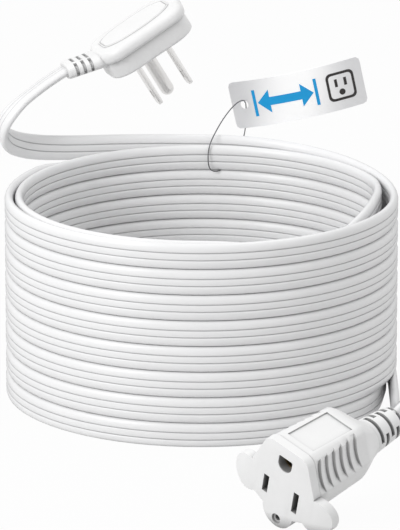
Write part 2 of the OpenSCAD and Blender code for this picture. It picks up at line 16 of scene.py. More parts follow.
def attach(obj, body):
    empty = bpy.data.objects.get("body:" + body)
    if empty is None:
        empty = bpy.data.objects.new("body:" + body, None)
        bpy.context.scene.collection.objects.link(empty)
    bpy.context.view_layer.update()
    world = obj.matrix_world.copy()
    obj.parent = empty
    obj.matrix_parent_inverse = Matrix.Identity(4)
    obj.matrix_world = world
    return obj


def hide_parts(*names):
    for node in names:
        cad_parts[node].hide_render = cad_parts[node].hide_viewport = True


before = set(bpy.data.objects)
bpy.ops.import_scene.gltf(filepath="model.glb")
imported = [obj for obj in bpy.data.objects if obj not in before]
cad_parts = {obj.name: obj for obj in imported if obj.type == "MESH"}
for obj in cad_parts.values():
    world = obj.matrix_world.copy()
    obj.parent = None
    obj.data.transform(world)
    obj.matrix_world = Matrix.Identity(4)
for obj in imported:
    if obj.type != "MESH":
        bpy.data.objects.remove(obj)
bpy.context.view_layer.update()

# %% [markdown]
# ## Camera
# The coil is looked at from 16 degrees above the horizon and from far away, so it
# keeps nearly parallel lines. A long lens two metres away does that. The small shift
# slides the frame without turning the camera, so upright lines stay upright.

# %% Camera
MM = 0.001
camera_data = bpy.data.cameras.new("camera")
camera_data.lens = 397.6
camera_data.sensor_width = 36
camera_data.shift_x = -1.4 / 530
camera_data.shift_y = 25.5 / 530
camera = bpy.data.objects.new("camera", camera_data)
bpy.context.scene.collection.objects.link(camera)
camera.location = (0.0015, -1.8787, 0.591)
look_at = Vector((0.0015, 0.0425, 0.035))
camera.rotation_euler = (look_at - camera.location).to_track_quat("-Z", "Y").to_euler()
bpy.context.scene.camera = camera
bpy.context.scene.view_settings.view_transform = "Standard"
print("camera distance in m:", round((look_at - camera.location).length, 3))

# %% [markdown]
# ## The cord's sizes and its section
# The jacket is 8.4 mm wide and 2.95 mm thick. Three cores lie side by side in it, so
# each flat side has two narrow grooves, and both edges are round. The section could be
# drawn as three joined circles, but this cord is flatter than that. So a quarter of the
# outline is listed and mirrored into the other three. The wound jacket is soft
# and its turns press together, so here it is spread until it nearly fills the pitch.

# %% Section of the jacket
CORD_W, CORD_T, SPREAD_W = 8.4, 2.95, 8.78
GROOVE_AT = 1.22
quarter = [
    (1.44, 0.0), (1.43, 0.8), (1.36, 1.03), (1.12, GROOVE_AT), (1.36, 1.42), (1.465, 1.65),
    (1.47, 2.1), (1.42, 2.65), (1.32, 3.1), (1.14, 3.55), (0.86, 3.97), (0.46, 4.28),
]
right_up = quarter + [(0.0, SPREAD_W / 2)]
left_up = [(-x, y) for x, y in reversed(quarter)]
left_down = [(-x, -y) for x, y in quarter[1:]] + [(0.0, -SPREAD_W / 2)]
right_down = [(x, -y) for x, y in reversed(quarter[1:])]
jacket_section = right_up + left_up + left_down + right_down
print("points round the jacket:", len(jacket_section))

# %% [markdown]
# ## The cord's route
# A cord lies where its winding puts it, so the route is worked out, not sculpted. Its
# running angle counts up from the connector's side, through 15 turns, to the plug's
# side. One turn of the outer layer comes first at the floor, then the cord climbs inside
# the front, winds down as the inner layer, and up again as the outer one. Smooth steps
# lead from level to level. The same numbers are in the CAD source.

# %% The coil's run
COIL_AT = Vector((1.5, 42.5, 0))
COIL_R, LEVEL_PITCH, LOW_Z = 65.5, 8.85, 3.7
LAYER_PITCH = (CORD_T + 0.5) / math.cos(math.radians(7.5))
COIL_END = 5490


def passed(a, start, end):
    """0 before start, 1 after end, and a smooth step between them."""
    u = min(1, max(0, (a - start) / (end - start)))
    return u * u * (3 - 2 * u)


def coil_point(a):
    """The cord's middle at running angle a, in degrees, and the way its width points."""
    layer = (passed(a, 710, 740) + passed(a, 3030, 3065)
             - passed(a, 325, 352) - passed(a, 510, 545))
    level = 7 * passed(a, 545, 710)
    for turn in range(6):
        level -= passed(a, 990 + 360 * turn, 1050 + 360 * turn)
        level += 0 if turn > 5 else passed(a, 3345 + 360 * turn, 3390 + 360 * turn)
    rho = COIL_R + LAYER_PITCH * layer
    z = LOW_Z + LEVEL_PITCH * level + 3 * passed(a, COIL_END - 90, COIL_END)
    t = math.radians(a)
    return Vector((rho * math.cos(t), rho * math.sin(t), z)), Vector((0, 0, 1))


coil_rows = [coil_point(a) for a in range(0, COIL_END + 1, 5)]
print("coil rows:", len(coil_rows), "top in mm:", round(coil_rows[-1][0].z, 2))

# %% [markdown]
# ## Where the plug, the connector and the tag are held
# Each of them is modelled lying flat in its own small frame, in millimetres, because
# that is how a mould maker would draw it. One matrix then places it. In the plug's
# frame x runs along the blades away from the cord, and +z out along the prongs. In the
# connector's frame y goes up to the ground hole, and +z out of the face.

# %% Placing matrices


def held(at, turn=(0, 0, 0)):
    """The matrix from a piece's own millimetres to the frame's metres."""
    spin = Euler([math.radians(t) for t in turn], "XYZ").to_matrix().to_4x4()
    return Matrix.Scale(MM, 4) @ Matrix.Translation(COIL_AT + Vector(at)) @ spin


PLUG = held((-18.7, 67, 102.6), (175.6, -30.7, 17.8))
CONNECTOR = held((25, -155, 12.9), (102.7, 20, -39.3))
TAG = held((14.9, 73, 81.9), (0, -12, 0))
COIL = held((0, 0, 0))
in_coil = COIL.inverted()

# %% The two leads' routes
plug_from, connector_from = coil_rows[-1][0], coil_rows[0][0]
plug_route = [
    ((-6, 0, 0.05), (0, 0, 1)), ((-14, -0.2, 0.15), (0, 0, 1)),
    ((-23, -0.8, 0.25), (0, 0, 1)), ((-32, -1.7, 0.35), (0, 0, 1)),
    ((-41, -3, 0.45), (0, 0, 1)), ((-49, -4.6, 0.75), (0, 0.05, 1)),
    ((-56, -6.8, 1.45), (0, 0.15, 1)), ((-62, -9.5, 2.85), (0, 0.3, 0.95)),
    ((-66.4, -12.5, 5.05), (0, 0.5, 0.85)), ((-68.7, -15.3, 8.25), (-0.1, 0.7, 0.7)),
    ((-68.7, -17.1, 12.25), (-0.2, 0.85, 0.45)),
    ((-66.3, -17.2, 16.35), (-0.25, 0.93, 0.25)),
    ((-62.3, -15.7, 20.25), (-0.27, 0.96, 0)),
    ((-57.6, -13.3, 23.55), (-0.267, 0.961, -0.066)),
    ((-53.3, -10.5, 26.15), (-0.267, 0.961, -0.066)),
]
connector_route = [
    ((0, -9, 0), (0, 0, 1)), ((0, -20, 0.2), (0, 0, 1)), ((-0.1, -31, 0.7), (0, 0, 1)),
    ((-0.3, -42, 1.6), (0, 0, 1)), ((-0.5, -52.5, 3.1), (0, 0, 1)),
    ((-0.5, -62, 5.2), (0, 0, 1)), ((-0.5, -71, 7.7), (0, -0.05, 1)),
    ((-0.4, -79.5, 10.7), (0, -0.1, 1)), ((-0.2, -87, 13.7), (0, -0.2, 1)),
    ((0, -94, 16.7), (0.05, -0.28, 1)), ((0.2, -100.5, 19.4), (0.1, -0.33, 0.95)),
    ((0.3, -106.5, 21.6), (0.12, -0.35, 0.94)), ((-0.1, -111.3, 23), (0.14, -0.37, 0.93)),
    ((-1.5, -114.7, 23.1), (0.14, -0.38, 0.92)),
]
TILT = math.radians(15)
BOOT_ROOT, BOOT_WAY = Vector((-17.7, 0, -8.34)), Vector((-math.cos(TILT), 0, -math.sin(TILT)))
plug_mouth = in_coil @ PLUG @ (BOOT_ROOT + 11 * BOOT_WAY)
plug_inside = in_coil @ PLUG @ (BOOT_ROOT + 8 * BOOT_WAY)
connector_mouth = in_coil @ CONNECTOR @ Vector((0, 1, -54.2))
connector_inside = in_coil @ CONNECTOR @ Vector((0, 1, -51.2))
print("plug's boot mouth in mm:", [round(c, 1) for c in plug_mouth])

# %% One smooth route


def smooth_rows(rows, steps=4):
    """Rows of point and width direction, with steps on a smooth curve between them."""
    out = []
    for i in range(len(rows) - 1):
        near = [rows[max(0, min(len(rows) - 1, i + k))] for k in (-1, 0, 1, 2)]
        for s in range(steps):
            u = s / steps
            share = (-u / 2 + u * u - u ** 3 / 2, 1 - 2.5 * u * u + 1.5 * u ** 3,
                     u / 2 + 2 * u * u - 1.5 * u ** 3, -u * u / 2 + u ** 3 / 2)
            out.append(tuple(sum((w * row[k] for w, row in zip(share, near)), Vector())
                             for k in (0, 1)))
    return out + [rows[-1]]


def lead_rows(start, route, mouth, inside):
    rows = [(start, Vector((0, 0, 1)))]
    rows += [(start + Vector(p), Vector(w)) for p, w in route]
    return rows + [(mouth, Vector(route[-1][1])), (inside, Vector(route[-1][1]))]


to_plug = smooth_rows(lead_rows(plug_from, plug_route, plug_mouth, plug_inside))
to_connector = smooth_rows(
    lead_rows(connector_from, connector_route, connector_mouth, connector_inside))
cord_rows = to_connector[:0:-1] + coil_rows + to_plug[1:]

# %% [markdown]
# ## Carrying a section along a line
# Extruding the section's edge loop a step at a time is what a cable factory's die does.
# At each step the new loop moves by the matrix that takes the last station to the next.
# Each point keeps its place across the cord and its run along it as attributes, so a
# material can follow the cord round every turn.

# %% Stations and sweep


def stations(rows):
    """A matrix for each row: out, width and along are its axes, and the point its place."""
    out = []
    for i, (point, wide) in enumerate(rows):
        along = (rows[min(i + 1, len(rows) - 1)][0] - rows[max(i - 1, 0)][0]).normalized()
        up = (wide - wide.dot(along) * along).normalized()
        turn = Matrix((along.cross(up), up, along)).transposed().to_4x4()
        out.append(Matrix.Translation(point) @ turn)
    return out


def stretch(section, places, run_from):
    """One short open stretch of a swept skin."""
    bm = bmesh.new()
    across = bm.verts.layers.float.new("across")
    run = bm.verts.layers.float.new("run")
    loop = [bm.verts.new((x, y, 0)) for x, y in section]
    for v in loop:
        v[across], v[run] = v.co.y, run_from
    edges = [bm.edges.new((loop[i - 1], loop[i])) for i in range(len(loop))]
    bmesh.ops.transform(bm, matrix=places[0], verts=loop)
    for before, after in zip(places, places[1:]):
        made = bmesh.ops.extrude_edge_only(bm, edges=edges)["geom"]
        verts = [g for g in made if isinstance(g, bmesh.types.BMVert)]
        fresh = set(verts)
        edges = [g for g in made if isinstance(g, bmesh.types.BMEdge)
                 and g.verts[0] in fresh and g.verts[1] in fresh]
        bmesh.ops.transform(bm, matrix=after @ before.inverted(), verts=verts)
        run_from += (after.translation - before.translation).length
        for v in verts:
            v[run] = run_from
    return bm, run_from


def sweep(section, places, part=24):
    """A closed tube: the section carried through the places, its ends filled.
    Short stretches are made apart and joined, which is much quicker than one long one."""
    whole, gone = bmesh.new(), 0
    for start in range(0, len(places) - 1, part):
        bm, gone = stretch(section, places[start:start + part + 1], gone)
        mesh = bpy.data.meshes.new("stretch")
        bm.to_mesh(mesh)
        bm.free()
        whole.from_mesh(mesh)
        bpy.data.meshes.remove(mesh)
    bmesh.ops.remove_doubles(whole, verts=whole.verts, dist=2e-4)
    bmesh.ops.holes_fill(whole, edges=[e for e in whole.edges if e.is_boundary], sides=0)
    return whole


# %% Making a piece of the object


def piece(name, bm, place, material, body="cord", sharp=32):
    """Puts a finished shape in its place, with outward normals, on its body."""
    bmesh.ops.remove_doubles(bm, verts=bm.verts, dist=1e-5)
    bmesh.ops.transform(bm, matrix=place, verts=bm.verts)
    bmesh.ops.recalc_face_normals(bm, faces=bm.faces)
    mesh = bpy.data.meshes.new(name)
    bm.to_mesh(mesh)
    bm.free()
    mesh.shade_smooth()
    mesh.set_sharp_from_angle(angle=math.radians(sharp))
    obj = bpy.data.objects.new(name, mesh)
    bpy.context.scene.collection.objects.link(obj)
    mesh.materials.append(material)
    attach(obj, body)
    print(f"{name}: {len(mesh.polygons)} faces, "
          f"{[round(1000 * d, 1) for d in obj.dimensions]} mm")
    return obj


# %% [markdown]
# ## Shared effects for the finishes
# Moulded plastic is never one flat colour: it has a fine grain and a little mottling from
# the way it cooled. Its colour also gets painted shade in creases and lines of painted
# shade along the cord's grooves. Three node groups hold those effects, each made once, and
# every finish sets its own amounts.

# %% Node helpers


def group(name, inputs, outputs):
    """An empty shader node group with named number inputs and the given outputs."""
    tree = bpy.data.node_groups.new(name, "ShaderNodeTree")
    for label, value in inputs.items():
        kind = "NodeSocketColor" if isinstance(value, tuple) else "NodeSocketFloat"
        tree.interface.new_socket(label, in_out="INPUT", socket_type=kind).default_value = value
    for label, kind in outputs.items():
        tree.interface.new_socket(label, in_out="OUTPUT", socket_type=kind)
    return tree, tree.nodes.new("NodeGroupInput"), tree.nodes.new("NodeGroupOutput")


def node(tree, kind, links=(), **settings):
    """A node with its settings, and (socket, value or other socket) pairs put in."""
    made = tree.nodes.new(kind)
    for key, value in settings.items():
        setattr(made, key, value)
    for socket, value in links:
        if isinstance(value, bpy.types.NodeSocket):
            tree.links.new(value, made.inputs[socket])
        else:
            made.inputs[socket].default_value = value
    return made


def maths(tree, operation, *values):
    return node(tree, "ShaderNodeMath", list(enumerate(values)),
                operation=operation).outputs[0]


# %% Group: moulded grain
grain, given, result = group(
    "moulded_grain", {"Grain per m": 9000.0, "Mottle per m": 120.0},
    {"Tone": "NodeSocketFloat", "Height": "NodeSocketFloat"})
place = node(grain, "ShaderNodeTexCoord").outputs["Object"]
fine = node(grain, "ShaderNodeTexNoise", [
    ("Vector", place), ("Scale", given.outputs["Grain per m"]), ("Detail", 3.0)])
broad = node(grain, "ShaderNodeTexNoise", [
    ("Vector", place), ("Scale", given.outputs["Mottle per m"]), ("Detail", 4.0),
    ("Roughness", 0.6)])
grain.links.new(broad.outputs["Fac"], result.inputs["Tone"])
grain.links.new(fine.outputs["Fac"], result.inputs["Height"])

# %% Group: shade in creases
crease, given, result = group(
    "crease_shade", {"Reach": 0.0012, "Strength": 0.5}, {"Shade": "NodeSocketFloat"})
hollow = node(crease, "ShaderNodeAmbientOcclusion", [("Distance", given.outputs["Reach"])],
              samples=8)
deep = maths(crease, "SUBTRACT", 1.0, hollow.outputs["AO"])
much = maths(crease, "MULTIPLY", deep, given.outputs["Strength"])
crease.links.new(maths(crease, "SUBTRACT", 1.0, much), result.inputs["Shade"])

# %% Group: a line of painted shade along the cord's grooves
line, given, result = group(
    "groove_painted_shade", {"Place": 1.18, "Half width": 0.2}, {"Line": "NodeSocketFloat"})
across = node(line, "ShaderNodeAttribute", attribute_name="across").outputs["Fac"]
off = maths(line, "ABSOLUTE", maths(line, "SUBTRACT", maths(line, "ABSOLUTE", across),
                                    given.outputs["Place"]))
near = maths(line, "DIVIDE", off, given.outputs["Half width"])
line.links.new(node(line, "ShaderNodeClamp", [
    ("Value", maths(line, "SUBTRACT", 1.0, near))]).outputs[0], result.inputs["Line"])

# %% [markdown]
# ## Finishes
# Each finish is a Principled shader. Its tone comes from a colour ramp over the mottle,
# darkened by painted shade in creases, and the grain drives a very small bump and the gloss.

# %% A plastic finish


def finish(name, dark, light, rough, bump, grain_per_m=9000, mottle=120, crease_by=0.5,
           reach=0.0012, metal=0.0):
    """A procedural material: two near tones, gloss that varies, grain and crease shade."""
    material = bpy.data.materials.new(name)
    material.use_nodes = True
    tree = material.node_tree
    shader = tree.nodes["Principled BSDF"]
    fine = node(tree, "ShaderNodeGroup", node_tree=grain)
    fine.inputs["Grain per m"].default_value = grain_per_m
    fine.inputs["Mottle per m"].default_value = mottle
    tones = node(tree, "ShaderNodeMix", [
        (0, fine.outputs["Tone"]), (6, (*dark, 1)), (7, (*light, 1))], data_type="RGBA")
    shade = node(tree, "ShaderNodeGroup", node_tree=crease)
    shade.inputs["Strength"].default_value = crease_by
    shade.inputs["Reach"].default_value = reach
    shaded = node(tree, "ShaderNodeMix", [
        (0, 1.0), (6, tones.outputs[2]), (7, shade.outputs["Shade"])],
        data_type="RGBA", blend_type="MULTIPLY")
    tree.links.new(shaded.outputs[2], shader.inputs["Base Color"])
    gloss = node(tree, "ShaderNodeMapRange", [
        ("Value", fine.outputs["Tone"]), ("To Min", rough - 0.06), ("To Max", rough + 0.06)])
    tree.links.new(gloss.outputs[0], shader.inputs["Roughness"])
    relief = node(tree, "ShaderNodeBump", [
        ("Height", fine.outputs["Height"]), ("Strength", bump), ("Distance", 0.00005)])
    tree.links.new(relief.outputs[0], shader.inputs["Normal"])
    shader.inputs["Metallic"].default_value = metal
    return material, tree, shader, shaded


moulded, *_ = finish("moulded_white", (0.80, 0.80, 0.80), (0.87, 0.87, 0.87), 0.42, 0.35,
                     crease_by=0.75)
# This finish paints shade: a stronger, wider crease shade, and a near black colour where points
# carry the sunk mark, down slots, shafts and holes.
deep_shade_finish, tree, shader, shaded = finish(
    "moulded_white_deep_shade", (0.80, 0.80, 0.80), (0.87, 0.87, 0.87), 0.42, 0.35,
    crease_by=0.92, reach=0.005)
sunk = node(tree, "ShaderNodeAttribute", attribute_name="sunk").outputs["Fac"]
painted_shade_in_shafts = node(tree, "ShaderNodeMix", [
    (0, maths(tree, "MULTIPLY", sunk, 0.7)), (6, shaded.outputs[2]),
    (7, (0.03, 0.03, 0.03, 1))], data_type="RGBA")
tree.links.new(painted_shade_in_shafts.outputs[2], shader.inputs["Base Color"])
nickel, *_ = finish("nickel_plate", (0.72, 0.71, 0.70), (0.80, 0.79, 0.78), 0.36, 0.2,
                    mottle=300, crease_by=0.3, metal=1.0)
brass, *_ = finish("brass_contact", (0.42, 0.30, 0.14), (0.52, 0.38, 0.18), 0.35, 0.2,
                   mottle=300, metal=1.0)
black_core, *_ = finish("core_black", (0.02, 0.02, 0.02), (0.035, 0.035, 0.035), 0.45, 0.2)
white_core, *_ = finish("core_white", (0.75, 0.75, 0.74), (0.8, 0.8, 0.79), 0.45, 0.2)
green_core, *_ = finish("core_green", (0.02, 0.16, 0.05), (0.03, 0.22, 0.07), 0.45, 0.2)
steel, *_ = finish("wire_steel", (0.10, 0.10, 0.11), (0.16, 0.16, 0.17), 0.4, 0.2,
                   mottle=400, metal=0.6)
card, *_ = finish("tag_card", (0.96, 0.96, 0.965), (0.99, 0.99, 0.99), 0.3, 0.3,
                  grain_per_m=5000, mottle=60, crease_by=0.3)
blue_ink, *_ = finish("ink_blue", (0.0, 0.32, 0.70), (0.0, 0.36, 0.76), 0.5, 0.3,
                      grain_per_m=5000)
dark_ink, *_ = finish("ink_dark", (0.012, 0.01, 0.01), (0.02, 0.016, 0.016), 0.5, 0.3,
                      grain_per_m=5000)

# %% The card's painted shade at its ends and painted glow in its middle
# The card is white in the middle and its colour is painted grey towards both ends, as painted
# shade from its bow.
card_tree = card.node_tree
where = node(card_tree, "ShaderNodeSeparateXYZ", [
    (0, node(card_tree, "ShaderNodeTexCoord").outputs["Object"])])
from_middle = maths(card_tree, "ABSOLUTE", maths(card_tree, "SUBTRACT", where.outputs[0], 0.0345))
fade = node(card_tree, "ShaderNodeMapRange", [
    ("Value", from_middle), ("From Min", 0.002), ("From Max", 0.02)],
    interpolation_type="SMOOTHSTEP")
end_shade_tone = node(card_tree, "ShaderNodeMix", [
    (0, fade.outputs[0]), (6, (1, 1, 1, 1)), (7, (0.78, 0.78, 0.79, 1))], data_type="RGBA")
card_shader = card_tree.nodes["Principled BSDF"]
card_shader.inputs["IOR"].default_value = 1.8
end_shaded = node(card_tree, "ShaderNodeMix", [
    (0, 1.0), (6, card_shader.inputs["Base Color"].links[0].from_socket),
    (7, end_shade_tone.outputs[2])], data_type="RGBA", blend_type="MULTIPLY")
card_tree.links.new(end_shaded.outputs[2], card_shader.inputs["Base Color"])
# Painted light: where the painted shade is absent, the card is given a little emission, so
# its middle glows as a painted highlight.
bare = maths(card_tree, "SUBTRACT", 1.0, fade.outputs[0])
card_tree.links.new(maths(card_tree, "MULTIPLY", bare, 0.15),
                    card_shader.inputs["Emission Strength"])
card_shader.inputs["Emission Color"].default_value = (1, 1, 1, 1)

# %% The jacket's finish
jacket, tree, shader, shaded = finish(
    "jacket_white", (0.82, 0.82, 0.825), (0.87, 0.87, 0.875), 0.36, 0.2, grain_per_m=4000,
    mottle=60, crease_by=0.25, reach=0.0011)
groove = node(tree, "ShaderNodeGroup", node_tree=line)
groove.inputs["Place"].default_value = GROOVE_AT
groove.inputs["Half width"].default_value = 0.26
# Painted shade: the jacket's colour is darkened along the grooves between the cores.
groove_shaded = node(tree, "ShaderNodeMix", [
    (0, maths(tree, "MULTIPLY", groove.outputs["Line"], 0.6)), (6, shaded.outputs[2]),
    (7, (0.22, 0.22, 0.23, 1))], data_type="RGBA")
# Painted shade: the jacket's colour is made greyer where it is seen edge on, along its
# rims.
facing = node(tree, "ShaderNodeLayerWeight", [("Blend", 0.5)]).outputs["Facing"]
rim_shade_by = maths(tree, "MULTIPLY", maths(tree, "POWER", facing, 7.0), 0.9)
rim_shaded = node(tree, "ShaderNodeMix", [
    (0, rim_shade_by), (6, groove_shaded.outputs[2]), (7, (0.25, 0.25, 0.26, 1))], data_type="RGBA")
tree.links.new(rim_shaded.outputs[2], shader.inputs["Base Color"])

# %% [markdown]
# ## The cord itself
# Now the section is carried through all the stations at once, as one unbroken piece from
# connector to plug. The lowest turn is pressed flat where it stands on the floor.

# %% Cord
cord_places = stations(cord_rows)
cord_mesh = sweep(jacket_section, cord_places)
for v in cord_mesh.verts:
    v.co.z = max(v.co.z, 0)
cord = piece("flat_cord", cord_mesh, COIL, jacket, sharp=60)
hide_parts("coil", "plug_lead", "connector_lead")

# %% [markdown]
# ## Outlines
# The plug's head and the connector's body have outlines made of straight sides that run
# into round corners. Such an outline is the tight band round a few discs: in each
# direction its point is on the disc that reaches furthest. Points are then spread evenly.

# %% A band round discs


def band(discs, count=72):
    """The outline round (x, y, radius) discs, with points spread evenly along it."""
    raw = []
    for k in range(720):
        d = Vector((math.cos(math.pi * k / 360), math.sin(math.pi * k / 360)))
        x, y, r = max(discs, key=lambda disc: d.x * disc[0] + d.y * disc[1] + disc[2])
        raw.append(Vector((x, y)) + r * d)
    raw.append(raw[0])
    total = sum((b - a).length for a, b in zip(raw, raw[1:]))
    out, gone, want = [], 0, 0
    for a, b in zip(raw, raw[1:]):
        step = (b - a).length
        while want < gone + step and len(out) < count:
            out.append(a.lerp(b, (want - gone) / step))
            want += total / count
        gone += step
    return out


def slab(outline, low, high):
    """A flat plate of that outline between two heights."""
    bm = bmesh.new()
    face = bm.faces.new([bm.verts.new((p[0], p[1], low)) for p in outline])
    made = bmesh.ops.extrude_face_region(bm, geom=[face])["geom"]
    bmesh.ops.translate(bm, vec=(0, 0, high - low),
                        verts=[g for g in made if isinstance(g, bmesh.types.BMVert)])
    bmesh.ops.recalc_face_normals(bm, faces=bm.faces)
    return bm


def round_rim(bm, z, offset, segments=4, margin=0.01):
    """Rounds the edges that lie at height z."""
    rim = [e for e in bm.edges
           if all(abs(v.co.z - z) < margin for v in e.verts) and len(e.link_faces) == 2
           and abs(e.calc_face_angle()) > 0.5]
    bmesh.ops.bevel(bm, geom=rim, offset=offset, offset_type="OFFSET", segments=segments,
                    profile=0.5, affect="EDGES", clamp_overlap=True, material=-1)
    return bm


# %% [markdown]
# ## Plug: head, panel and block
# The head is a soft disc that the fingers hold. It could be sculpted from a subdivided
# cube, but a plate with two bevelled rims keeps its outline exact. The label panel is a
# bare raised pad whose long sides bulge, with a fine groove just inside its edge. The
# block below the head meets the socket.

# %% Head
head_discs = [(0.75 + sx * 12.85, 0, 5.4) for sx in (-1, 1)]
head_discs += [(0.75 + sx * 9.85, sy * 6.8, 7.2) for sx in (-1, 1) for sy in (-1, 1)]
head = slab(band(head_discs, 96), -6.5, -11.1)
round_rim(head, -11.1, 2.3, 6)
round_rim(head, -6.5, 1.5, 4)
plug_head = piece("plug_head_soft", head, PLUG, moulded)
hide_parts("plug_head")

# %% Bare panel on the head


panel_quarter = [(13.6, 3.7), (13.35, 4.4), (12.7, 5.3), (11.6, 6.4), (10, 7.5),
                 (7.9, 8.4), (5.4, 9.05), (2.7, 9.4)]
right_half = panel_quarter + [(0, 9.5)] + [(-x, y) for x, y in reversed(panel_quarter)]
pad_outline = [(0.75 + x, y) for x, y in right_half + [(-x, -y) for x, y in right_half]]
pad = slab(pad_outline, -10.9, -11.45)
round_rim(pad, -11.45, 0.22, 3)
middle = [max((f for f in pad.faces if f.calc_center_median().z < -11.4),
              key=lambda f: f.calc_area())]
for across, down in ((0.12, 0), (0.3, -0.3), (0.3, 0.3)):
    bmesh.ops.inset_region(pad, faces=middle, thickness=across, depth=down)
plug_panel = piece("plug_panel", pad, PLUG, deep_shade_finish)

# %% Block
block_discs = [(0.75 + sx * 8.15, sy * 3.9, 8.5) for sx in (-1, 1) for sy in (-1, 1)]
block = slab(band(block_discs, 80), 0, -6.6)
round_rim(block, 0, 0.9, 4)
plug_block = piece("plug_block_soft", block, PLUG, moulded)
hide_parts("plug_block")

# %% [markdown]
# ## Prongs
# A blade is punched from strip, so its edges are slightly rounded and its tip is cut at
# the corners. The ground pin is turned, so it is spun from half its outline.

# %% Blades


def blade(side):
    """A blade with its tip's corners cut, a hole near the tip and eased edges."""
    w, l = 3.175, 17.0
    outline = [(-w, -1), (w, -1), (w, l - 1.2), (w - 1.2, l), (1.2 - w, l), (-w, l - 1.2)]
    bm = bmesh.new()
    rim = [bm.verts.new((0, y, z)) for y, z in outline]
    hole = bmesh.ops.create_circle(
        bm, segments=24, radius=1.6,
        matrix=Matrix.Translation((0, 0, l - 4.2)) @ Matrix.Rotation(math.pi / 2, 4, "Y"))
    for i in range(len(rim)):
        bm.edges.new((rim[i - 1], rim[i]))
    bmesh.ops.triangle_fill(bm, edges=bm.edges[:], use_beauty=True)
    bmesh.ops.dissolve_limit(bm, angle_limit=0.01, verts=bm.verts, edges=bm.edges)
    made = bmesh.ops.extrude_face_region(bm, geom=bm.faces[:])["geom"]
    new = [g for g in made if isinstance(g, bmesh.types.BMVert)]
    bmesh.ops.translate(bm, vec=(1.5, 0, 0), verts=new)
    bmesh.ops.translate(bm, vec=(side * 6.35 - 0.75, 3, 0), verts=bm.verts)
    bmesh.ops.recalc_face_normals(bm, faces=bm.faces)
    edges = [e for e in bm.edges if e.calc_face_angle(0) > 1.0 and e.calc_length() > 0.9]
    bmesh.ops.bevel(bm, geom=edges, offset=0.22, offset_type="OFFSET", segments=2,
                    profile=0.5, affect="EDGES", clamp_overlap=True, material=-1)
    return bm


for name, side in (("hot_blade_plated", 1), ("neutral_blade_plated", -1)):
    made = piece(name, blade(side), PLUG, nickel, sharp=40)
    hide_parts("plug_hot_blade" if side == 1 else "plug_neutral_blade")

# %% Ground pin


def turned(profile, steps=40):
    """Spins an (r, z) profile round the z axis into a closed shape."""
    bm = bmesh.new()
    verts = [bm.verts.new((r, 0, z)) for r, z in profile]
    edges = [bm.edges.new(pair) for pair in zip(verts, verts[1:])]
    bmesh.ops.spin(bm, geom=verts + edges, cent=(0, 0, 0), axis=(0, 0, 1),
                   angle=2 * math.pi, steps=steps, use_merge=True)
    bmesh.ops.remove_doubles(bm, verts=bm.verts, dist=0.0005)
    return bm


tip = [(2.4 * math.cos(t), 17.6 + 2.4 * math.sin(t))
       for t in (math.radians(9 * k) for k in range(1, 10))]
pin_profile = [(0, -1), (2.4, -1), (2.4, 17.6)] + tip + [(0, 20)]
pin = turned(pin_profile)
bmesh.ops.translate(pin, vec=(0, -8.9, 0), verts=pin.verts)
ground_pin = piece("ground_pin_turned", pin, PLUG, nickel, sharp=50)
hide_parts("plug_ground_pin")

# %% [markdown]
# ## Strain reliefs
# Both ends of the cord bend most where they leave their moulding. There a soft boot with
# slots lets them curve. The boot is lofted through rings, and the faces where a slot
# goes are sunk with an inset that has a negative depth, which also makes its walls.

# %% A boot with slots


def oval(width, thick, count=48, power=2.6):
    """A soft oval outline, squarer as power grows."""
    out = []
    for k in range(count):
        c, s = math.cos(2 * math.pi * k / count), math.sin(2 * math.pi * k / count)
        out.append((math.copysign(abs(c) ** (2 / power), c) * width / 2,
                    math.copysign(abs(s) ** (2 / power), s) * thick / 2))
    return out


def loft(rings):
    """Joins (z, outline) rings of equal counts into a closed skin."""
    bm = bmesh.new()
    last = None
    for z, outline in rings:
        verts = [bm.verts.new((x, y, z)) for x, y in outline]
        edges = [bm.edges.new((verts[i - 1], verts[i])) for i in range(len(verts))]
        if last:
            bmesh.ops.bridge_loops(bm, edges=last + edges)
        else:
            first = edges
        last = edges
    bmesh.ops.edgeloop_fill(bm, edges=first)
    bmesh.ops.edgeloop_fill(bm, edges=last)
    bmesh.ops.recalc_face_normals(bm, faces=bm.faces)
    return bm


def sink(bm, chosen, depth, lip=0.08):
    """Sinks the faces for which chosen(middle) holds, with walls round them, and marks their
    points, so the finish can paint shade there."""
    sunk = bm.verts.layers.float.get("sunk") or bm.verts.layers.float.new("sunk")
    faces = [f for f in bm.faces if len(f.verts) == 4 and chosen(f.calc_center_median())]
    if faces:
        bmesh.ops.inset_region(bm, faces=faces, thickness=lip, depth=-depth,
                               use_even_offset=False, use_boundary=True)
    for v in {v for f in faces for v in f.verts}:
        v[sunk] = 0.6
    return len(faces)


def slot_rings(length, start, pitch, width, count):
    """Distances for rings, with a pair at each slot's two walls."""
    out = [0.0]
    for i in range(count):
        out += [start + i * pitch - width / 2, start + i * pitch + width / 2]
    return out + [length]


# %% The plug's boot
PLUG_SLOTS = [2.6, 5.2, 7.8]
rings = []
for z in [-3.5, -1.0] + slot_rings(10.3, 2.6, 2.6, 1.15, 3) + [10.8, 11.0]:
    u = min(1, max(0, z / 11))
    wide = 16.4 - 5.0 * u - (0.5 if z > 10.4 else 0) - (0.5 if z > 10.9 else 0)
    thick = 5.5 + 0.45 * u - (0.4 if z > 10.4 else 0) - (0.5 if z > 10.9 else 0)
    rings.append((z, oval(wide, thick)))
boot = loft(rings)
side_slots = lambda c: any(abs(c.z - z) < 0.5 for z in PLUG_SLOTS) and abs(c.x) > 4.2
top_slots = lambda c: (any(abs(c.z - z) < 0.5 for z in PLUG_SLOTS) and abs(c.y) > 2.3
                       and 0.6 < abs(c.x) < 3.4)
print("slot faces:", sink(boot, side_slots, 1.0), sink(boot, top_slots, 0.9))
boot_place = Matrix.Translation(BOOT_ROOT) @ Matrix.Rotation(-math.pi / 2 - TILT, 4, "Y")
